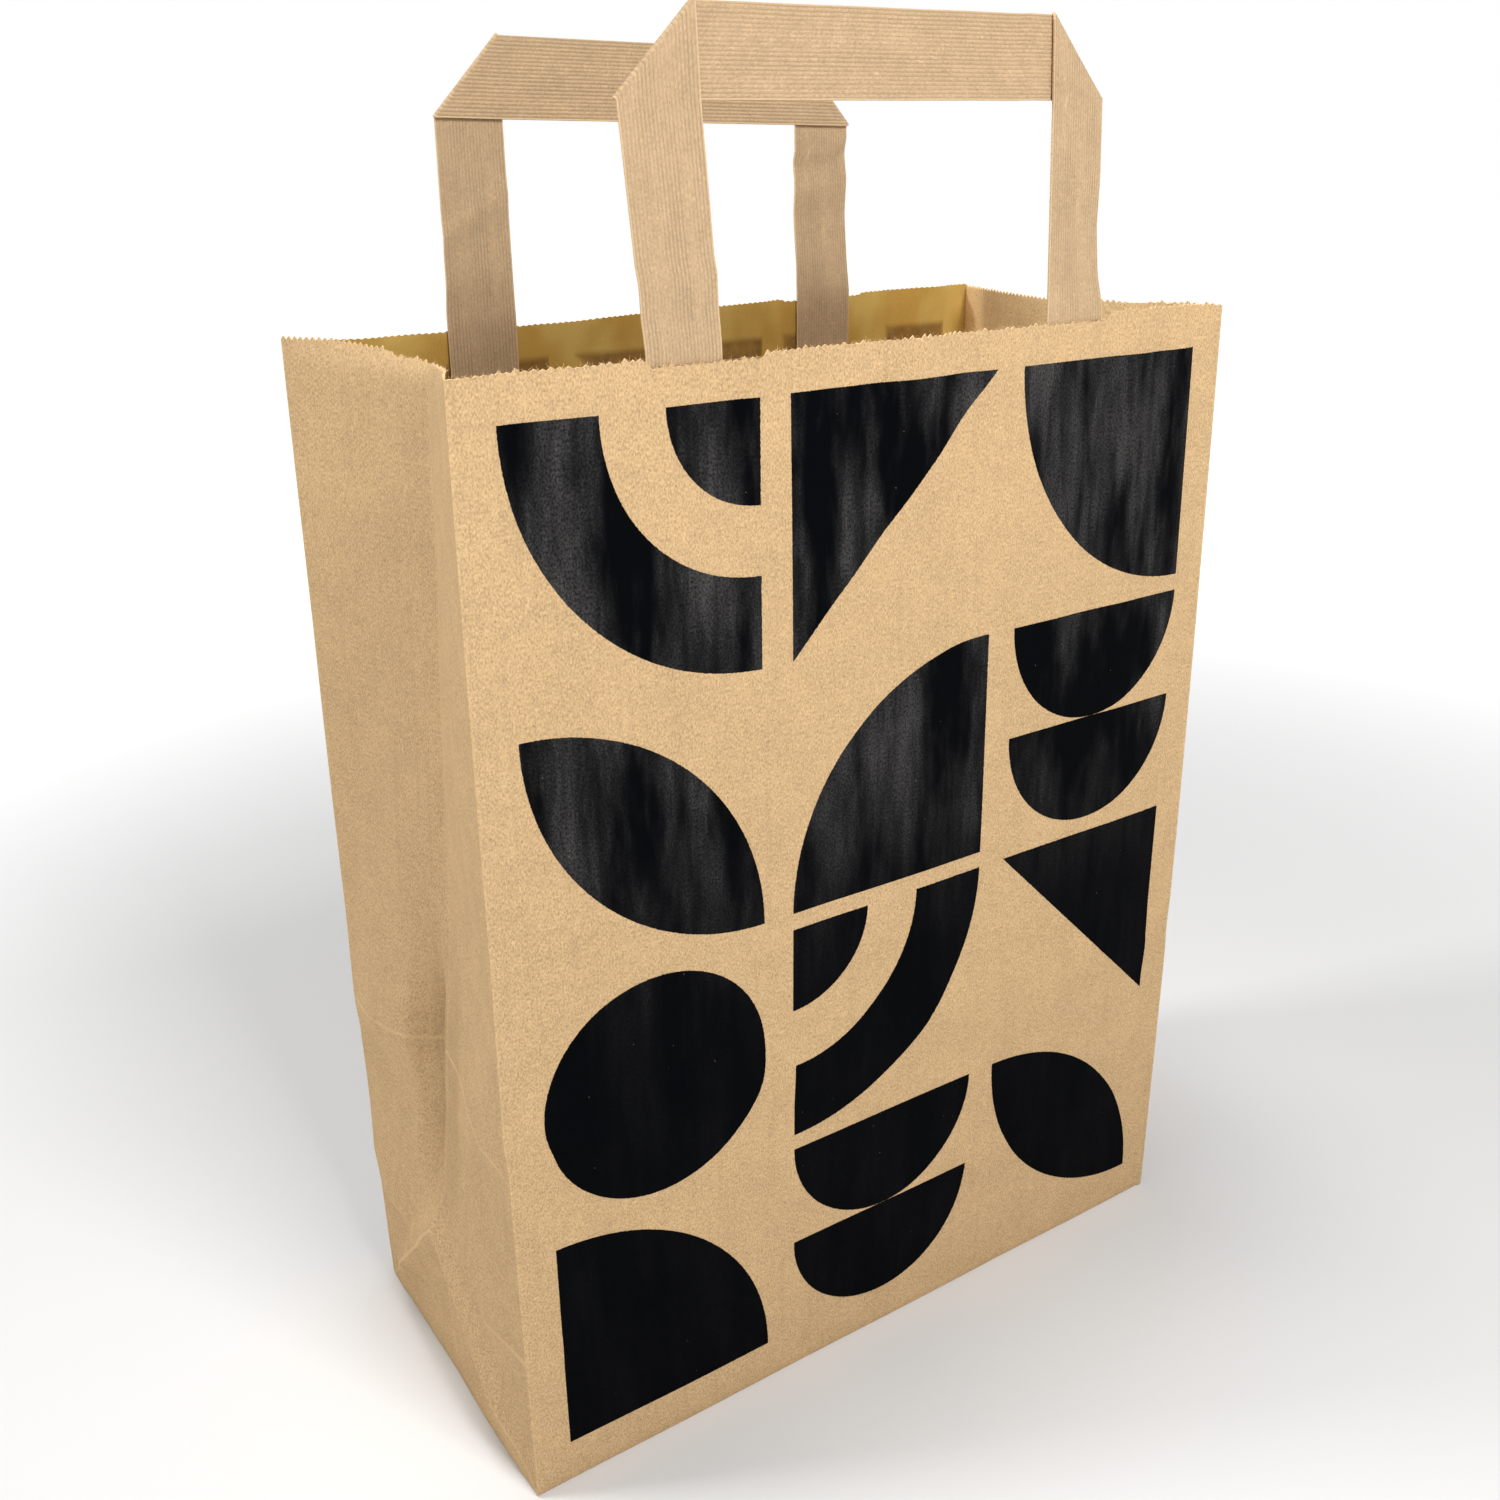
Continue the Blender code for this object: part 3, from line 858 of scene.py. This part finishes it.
def motif_distance(n, kind, a, b):
    """Signed distance inside a motif, in cells. a and b run 0 to 1 from the motif's own corner."""
    radius = n.math("SQRT", n.math("ADD", n.math("MULTIPLY", a, a), n.math("MULTIPLY", b, b)))
    if kind == "quarter":
        return n.math("SUBTRACT", 1.0, radius)
    if kind == "leaf":
        c, d = n.math("SUBTRACT", 1.0, a), n.math("SUBTRACT", 1.0, b)
        other = n.math("SQRT", n.math("ADD", n.math("MULTIPLY", c, c), n.math("MULTIPLY", d, d)))
        return n.math("SUBTRACT", 1.0, n.math("MAXIMUM", radius, other))
    if kind == "arcs":
        band = n.math("MINIMUM", n.math("SUBTRACT", 1.0, radius), n.math("SUBTRACT", radius, 0.64))
        return n.math("MAXIMUM", band, n.math("SUBTRACT", 0.38, radius))
    if kind == "slope":
        return n.math("MULTIPLY", n.math("SUBTRACT", 1.0, n.math("ADD", a, b)), math.sqrt(0.5))
    centred = n.math("SUBTRACT", a, 0.5)
    if kind == "disc":
        up = n.math("SUBTRACT", b, 0.5)
    else:
        up = n.math("SUBTRACT", n.math("MODULO", b, 0.5), 0.5)
    ring = n.math("SQRT", n.math("ADD", n.math("MULTIPLY", centred, centred), n.math("MULTIPLY", up, up)))
    return n.math("SUBTRACT", 0.5, ring)


def print_distance(n, s, z):
    """Signed distance in metres inside the printed motifs of the front and back panels."""
    x = n.math("MODULO", n.math("ADD", s, PERIMETER), RIGHT_END)
    pitch_across = PRINT_CELL + PRINT_GAP_ACROSS
    pitch_up = PRINT_CELL + PRINT_GAP_UP
    across = n.math("DIVIDE", n.math("SUBTRACT", x, PRINT_LEFT), pitch_across)
    up = n.math("DIVIDE", n.math("SUBTRACT", z, PRINT_BOTTOM), pitch_up)
    column, row = n.math("FLOOR", across), n.math("FLOOR", up)
    a = n.math("MULTIPLY", n.math("FRACT", across), pitch_across / PRINT_CELL)
    b = n.math("MULTIPLY", n.math("FRACT", up), pitch_up / PRINT_CELL)
    edge_a = n.math("MINIMUM", a, n.math("SUBTRACT", 1.0, a))
    edge_b = n.math("MINIMUM", b, n.math("SUBTRACT", 1.0, b))
    inside_cell = n.math("MINIMUM", edge_a, edge_b)
    turn = n.math("MODULO", n.math("ADD", column, row), 2.0)
    flipped = n.math("MODULO", row, 2.0)
    a = n.math("ABSOLUTE", n.math("SUBTRACT", a, turn))
    b = n.math("ABSOLUTE", n.math("SUBTRACT", b, flipped))
    cell = n.math("ADD", n.math("MULTIPLY", row, PRINT_COLUMNS), column)
    kinds = sorted({kind for line in PRINT_MOTIFS for kind in line})
    distances = {kind: motif_distance(n, kind, a, b) for kind in kinds}
    total = None
    for r, line in enumerate(PRINT_MOTIFS):
        for c, kind in enumerate(line):
            here = n.math("COMPARE", cell, float(r * PRINT_COLUMNS + c), 0.1)
            part = n.math("MULTIPLY", here, n.math("ADD", distances[kind], 2.0))
            total = part if total is None else n.math("ADD", total, part)
    total = n.math("MINIMUM", n.math("SUBTRACT", total, 2.0), inside_cell)
    for value, low, high in ((across, 0.0, PRINT_COLUMNS), (up, 0.0, PRINT_ROWS)):
        total = n.math("MINIMUM", total, n.math("SUBTRACT", value, low))
        total = n.math("MINIMUM", total, n.math("SUBTRACT", float(high), value))
    return n.math("MULTIPLY", total, PRINT_CELL)


# ---------------------------------------------------------------- materials

def finish_paper(n, colour, height, roughness=0.88, specular=0.12, depth=0.00014, strength=0.7):
    """Put colour, gloss and bump on the shader."""
    n.put(n.shader.inputs["Base Color"], colour)
    n.put(n.shader.inputs["Roughness"], roughness)
    n.shader.inputs["Specular IOR Level"].default_value = specular
    n.put(n.shader.inputs["Normal"], n.bump(height, depth, strength))
    return n.material


def ink_on_kraft(n, paper, s, z, worn):
    """How much ink covers the paper, and its colour: black, greyed where the print is worn by rubbing and
    lightened in soft vertical bands as painted sheen.
    """
    ragged = n.math("MULTIPLY", n.math("SUBTRACT", n.noise(paper, 1400, 2), 0.5), 0.00035)
    ink = n.span(n.math("ADD", print_distance(n, s, z), ragged), -0.00006, 0.00006)
    holes = n.cells(paper, 700)
    picked = n.span(n.split(holes.outputs["Color"])[1], 0.970, 0.980)
    pinhole = n.math("MULTIPLY", n.span(holes.outputs["Distance"], 0.09, 0.04), picked)
    ink = n.math("MULTIPLY", ink, n.math("SUBTRACT", 1.0, n.math("MULTIPLY", pinhole, 0.6)))
    ink = n.math("MULTIPLY", ink, n.math("SUBTRACT", 1.0, n.math("MULTIPLY", worn, 0.12)))
    back_left = n.span(s, RIGHT_END - PERIMETER + 0.1, BACK_END - PERIMETER)
    left = n.math("MAXIMUM", n.span(s, 0.13, 0.02), back_left)
    upper = n.math("MULTIPLY", n.span(z, 0.115, 0.20), n.math("MULTIPLY_ADD", left, 0.7, 0.3))
    # painted sheen: soft vertical light bands on the ink, strongest high up and on the left, mixed with
    # real rubbing and uneven inking
    bands = n.noise(n.stretch(paper, (1.0, 0.22, 1.0)), 62, 4, 0.6)
    strokes = n.noise(n.stretch(paper, (1.0, 0.12, 1.0)), 260, 3, 0.65)
    rubs_and_sheen = n.math("MULTIPLY", n.span(bands, 0.38, 0.68), n.span(strokes, 0.25, 0.75, 0.35, 1.0))
    tooth = n.noise(n.stretch(paper, (1.0, 0.7, 1.0)), 2100, 2, 0.7)
    rubs_and_sheen = n.math("MULTIPLY", rubs_and_sheen, n.span(tooth, 0.30, 0.72, 0.2, 1.0))
    rubs_and_sheen = n.math("MULTIPLY", rubs_and_sheen, n.math("MULTIPLY_ADD", upper, 0.95, 0.05))
    return ink, n.blend(rubs_and_sheen, INK, RUBBED_INK_AND_SHEEN)


def outer_kraft():
    """Outside of the bag: kraft, pale creases that are partly worn paper and partly painted highlight,
    painted shade in the side hollows, and the print.
    """
    n = Nodes("kraft_outside")
    paper = n.paper()
    s, z, _ = n.split(paper)
    colour, height = kraft_fibres(n, KRAFT, paper)
    worn = corner_wear(n, s, z, n.noise(paper, 900, 2))
    crease_wear_and_highlight, hollow = side_creases(n, s, z)
    # painted shade darkening the side hollow
    colour = n.blend(n.math("MULTIPLY", hollow, 0.32), colour, tone(KRAFT, 0.62))
    colour = n.blend(n.math("MULTIPLY", worn, 0.25), colour, tone(KRAFT, 1.35))
    # pale crease lines, partly wear and partly painted highlight
    colour = n.blend(n.math("MULTIPLY", crease_wear_and_highlight, 0.50), colour, tone(KRAFT, 1.40))
    ink, ink_colour = ink_on_kraft(n, paper, s, z, worn)
    colour = n.blend(ink, colour, ink_colour)
    return finish_paper(n, colour, height, n.math("MULTIPLY_ADD", ink, -0.12, 0.90), 0.03)


def inner_kraft():
    """Inside of the bag: the wide panels painted gold for the warm light bounced inside, dark where the
    print shows through, and the gussets painted paler for the light that falls on them.
    """
    n = Nodes("kraft_inside")
    paper = n.paper()
    s, z, _ = n.split(paper)
    wide = n.span(n.math("MODULO", n.math("ADD", s, PERIMETER), RIGHT_END), WIDTH + 0.0005, WIDTH - 0.0005)
    # painted light: the inner paper is a brightened copy of the kraft, which stays showing on the inner
    # sides
    colour, height = kraft_fibres(n, tone(KRAFT, PAINTED_GUSSET_LIGHT), paper)
    patches = n.noise(n.stretch(paper, (1.0, 0.7, 1.0)), 55, 2, 0.5)
    # painted light: the wide inner panels tinted gold for the warm light bounced inside the bag
    painted_gold = n.blend(n.span(patches, 0.35, 0.62), *PAINTED_BOUNCE_GOLD)
    colour = n.blend(n.math("MULTIPLY", wide, 0.90), colour, painted_gold)
    through = n.span(print_distance(n, s, z), -0.0012, 0.0012)
    mottle = n.noise(paper, 260, 3, 0.6)
    through = n.math("MULTIPLY", through, n.span(mottle, 0.15, 0.75, 0.5, 0.85))
    colour = n.blend(through, colour, SHOW_THROUGH)
    return finish_paper(n, colour, height)


def plain_kraft():
    """Patches."""
    n = Nodes("kraft_plain")
    colour, height = kraft_fibres(n, KRAFT, n.paper())
    return finish_paper(n, colour, height)


def cut_edge(name, base):
    """Pale fuzzy edge of cut or torn paper."""
    n = Nodes(name)
    paper = n.paper()
    fuzz = n.noise(paper, 2600, 3, 0.7)
    n.put(n.shader.inputs["Base Color"], n.blend(n.span(fuzz, 0.3, 0.7), tone(base, 1.1), tone(base, 1.75)))
    n.shader.inputs["Roughness"].default_value = 0.95
    n.put(n.shader.inputs["Normal"], n.bump(fuzz, 0.0002, 0.8))
    return n.material


def ribbed_kraft():
    """Straps: kraft with fine lengthwise ribs, with painted shade darkening the grooves."""
    n = Nodes("ribbed_kraft")
    paper = n.paper()
    across = n.split(paper)[0]
    colour, height = kraft_fibres(n, STRAP_KRAFT, paper, 0.60)
    wobble = n.math("MULTIPLY", n.noise(n.stretch(paper, (1.0, 0.25, 1.0)), 90, 1), 0.0002)
    angle = n.math("MULTIPLY", n.math("ADD", across, wobble), 2 * math.pi * RIB_COUNT / STRAP_WIDTH)
    rib = n.math("MULTIPLY_ADD", n.math("COSINE", angle), 0.5, 0.5)
    uneven = n.span(n.noise(n.stretch(paper, (1.0, 0.12, 1.0)), 200, 2), 0.3, 0.7, 0.6, 1.0)
    # painted shade: the paper darkened in the grooves between the ribs
    painted_groove_shade = n.math("MULTIPLY", n.math("SUBTRACT", 1.0, rib), uneven)
    colour = n.blend(n.math("MULTIPLY", n.span(painted_groove_shade, 0.45, 0.90), 0.42), colour, tone(STRAP_KRAFT, 0.48))
    edge = n.math("MINIMUM", across, n.math("SUBTRACT", STRAP_WIDTH, across))
    colour = n.blend(n.math("MULTIPLY", n.span(edge, 0.0005, 0.0001), 0.5), colour, tone(STRAP_KRAFT, 1.5))
    height = n.math("MULTIPLY_ADD", height, 0.25, n.math("MULTIPLY", rib, 1.1))
    return finish_paper(n, colour, height, 0.80, 0.15, 0.00012, 0.6)


def pale_stage():
    """Matt white, glowing faintly far out so the backdrop stays pale all round."""
    n = Nodes("pale_floor")
    place = n.tree.nodes.new("ShaderNodeTexCoord").outputs["Object"]
    x, y, _ = n.split(place)
    radius = n.math("SQRT", n.math("ADD", n.math("MULTIPLY", x, x), n.math("MULTIPLY", y, y)))
    n.shader.inputs["Base Color"].default_value = (FLOOR_WHITE, FLOOR_WHITE, FLOOR_WHITE, 1.0)
    n.shader.inputs["Roughness"].default_value = 0.9
    n.shader.inputs["Specular IOR Level"].default_value = 0.1
    n.shader.inputs["Emission Color"].default_value = (1.0, 1.0, 1.0, 1.0)
    n.put(n.shader.inputs["Emission Strength"], n.span(radius, 0.25, 1.1, 0.0, 0.9))
    return n.material


# ---------------------------------------------------------------- stage, lights, camera

def build_floor():
    """Pale round floor that runs out to a white horizon on every side."""
    points = []
    for radius in FLOOR_RADII:
        for i in range(FLOOR_TURNS + 1):
            angle = 2 * math.pi * i / FLOOR_TURNS
            points.append((radius * math.cos(angle), radius * math.sin(angle), 0.0))
    mesh = bpy.data.meshes.new("floor")
    mesh.from_pydata(points, [], [f[::-1] for f in grid_faces(len(FLOOR_RADII), FLOOR_TURNS + 1)])
    bm = bmesh.new()
    bm.from_mesh(mesh)
    bmesh.ops.remove_doubles(bm, verts=bm.verts, dist=0.0001)
    bm.to_mesh(mesh)
    bm.free()
    mesh.materials.append(pale_stage())
    mesh.shade_smooth()
    floor = bpy.data.objects.new("floor", mesh)
    bpy.context.scene.collection.objects.link(floor)


def add_area_light(name, place, aim, size, power):
    """A soft square lamp."""
    data = bpy.data.lights.new(name, "AREA")
    data.shape = "SQUARE"
    data.size = size
    data.energy = power
    lamp = bpy.data.objects.new(name, data)
    bpy.context.scene.collection.objects.link(lamp)
    lamp.location = place
    direction = Vector(aim) - Vector(place)
    lamp.rotation_euler = direction.to_track_quat("-Z", "Y").to_euler()


def build_world():
    """Pale studio all round: white near the horizon, dimmer overhead."""
    world = bpy.data.worlds.new("studio")
    bpy.context.scene.world = world
    world.use_nodes = True
    tree = world.node_tree
    place = tree.nodes.new("ShaderNodeTexCoord")
    split = tree.nodes.new("ShaderNodeSeparateXYZ")
    level = tree.nodes.new("ShaderNodeMapRange")
    level.interpolation_type = "SMOOTHSTEP"
    for socket, value in zip(level.inputs[1:], (0.12, 0.40, 1.0, 0.12)):
        socket.default_value = value
    tree.links.new(place.outputs["Generated"], split.inputs[0])
    tree.links.new(split.outputs["Z"], level.inputs["Value"])
    tree.links.new(level.outputs[0], tree.nodes["Background"].inputs["Strength"])
    tree.nodes["Background"].inputs["Color"].default_value = (1.0, 1.0, 1.0, 1.0)


def build_lights():
    build_world()
    for name, place, aim, size, power in LIGHTS:
        add_area_light(name, place, aim, size, power)


def build_camera():
    """Close to the bag, to its left and about level with the middle of the handles."""
    data = bpy.data.cameras.new("camera")
    data.sensor_width = SENSOR
    data.lens = LENS
    data.clip_start = 0.01
    camera = bpy.data.objects.new("camera", data)
    bpy.context.scene.collection.objects.link(camera)
    turn = Matrix.Rotation(math.radians(CAMERA_AZIMUTH), 4, "Z")
    turn = turn @ Matrix.Rotation(math.radians(90 - CAMERA_ELEVATION), 4, "X")
    turn = turn @ Matrix.Rotation(math.radians(CAMERA_ROLL), 4, "Z")
    camera.matrix_world = Matrix.Translation(CAMERA_PLACE) @ turn
    bpy.context.scene.camera = camera


# ---------------------------------------------------------------- build

def main():
    outside, inside = outer_kraft(), inner_kraft()
    plain = plain_kraft()
    edge = cut_edge("cut_edge", KRAFT)
    ribbed = ribbed_kraft()
    strap_edge = cut_edge("strap_edge", STRAP_KRAFT)
    bag = build_bag([outside, inside, edge])
    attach(bag, "root")
    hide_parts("bag")
    handles = (
        Strap("front_strap", True, (-0.0662, 0.0697), 0.3280, (0.0010, -0.0040), 0.0),
        Strap("back_strap", False, (-0.0648, 0.0649), 0.3279, (-0.0022, -0.0028), 1.0),
    )
    for strap, place in zip(handles, ("front", "back")):
        piece = build_strap(strap, [ribbed, ribbed, strap_edge])
        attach(piece, "root")
        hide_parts(f"{place}_handle")
        patch = build_patch(f"{place}_patch", strap, [plain, plain, edge])
        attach(patch, "root")
        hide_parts(f"{place}_handle_patch")
    build_floor()
    build_lights()
    build_camera()
    bpy.context.scene.view_settings.view_transform = "Standard"


main()
